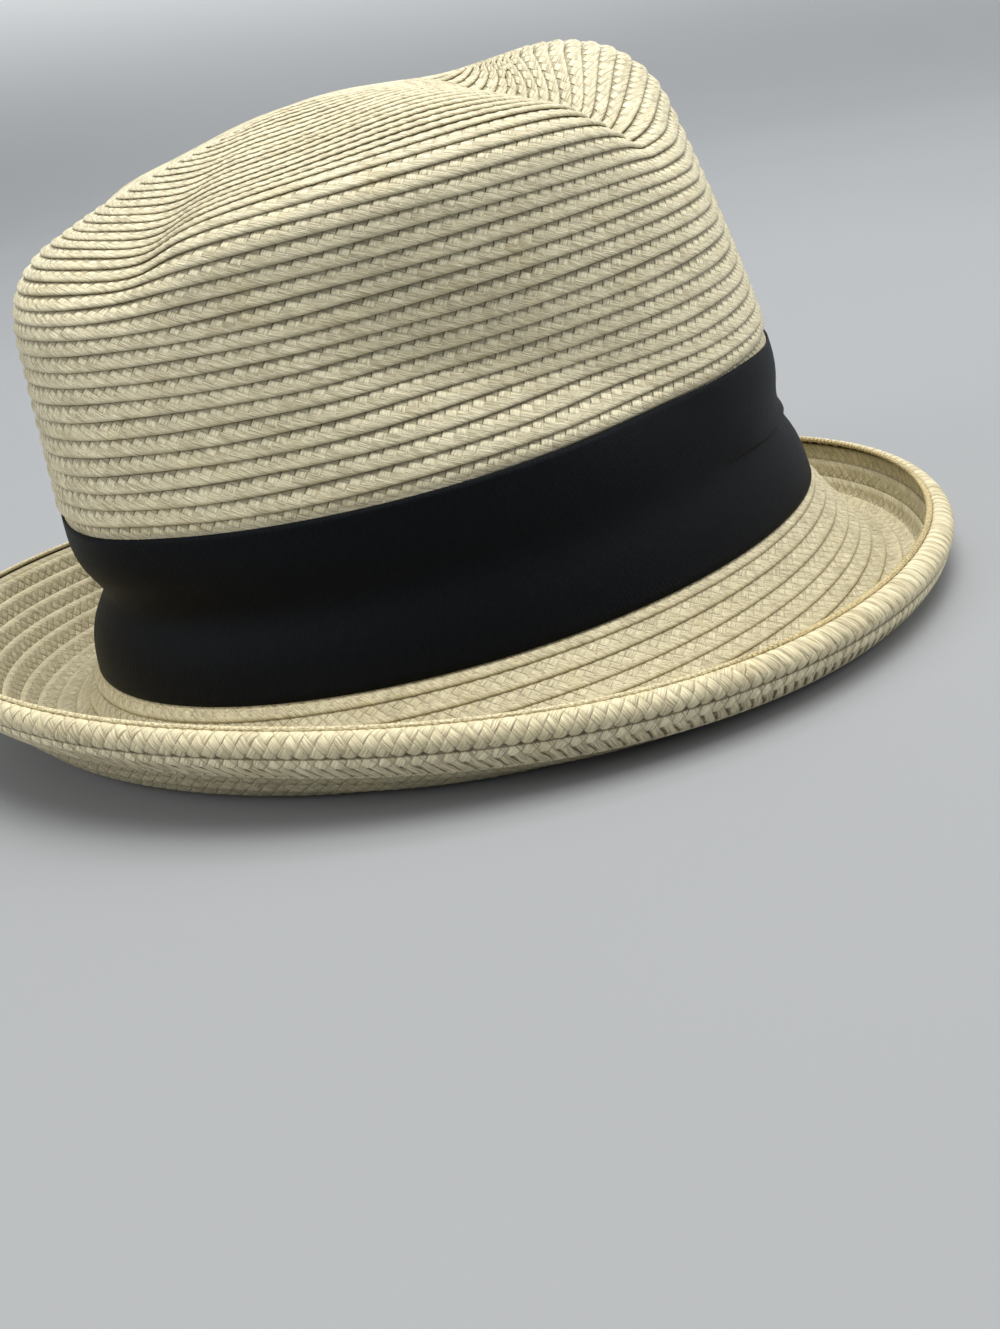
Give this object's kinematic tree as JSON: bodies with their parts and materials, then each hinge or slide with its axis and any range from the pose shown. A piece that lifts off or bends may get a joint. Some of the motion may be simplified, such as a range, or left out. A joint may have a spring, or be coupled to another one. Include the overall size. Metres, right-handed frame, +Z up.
{
  "type": "straw trilby",
  "caption": "Straw trilby sewn from braid, with a domed crown pinched at the front, a short brim turned up all round and a wide dark ribbon.",
  "frame": {"origin": "middle of the hat's footprint, on the surface that its brim rests on", "axes": "-Y towards the front of the hat, +Z up, -X towards the wearer's right"},
  "size_m": [0.2474, 0.2906, 0.1496],
  "materials": {
    "straw": "sewn rows of plaited straw, matt with a faint sheen",
    "ribbon": "matt ribbed ribbon"
  },
  "bodies": {
    "root": {"crown": "straw", "brim": "straw", "brim_edge": "straw", "hat_band": "ribbon"}
  },
  "joints": []
}
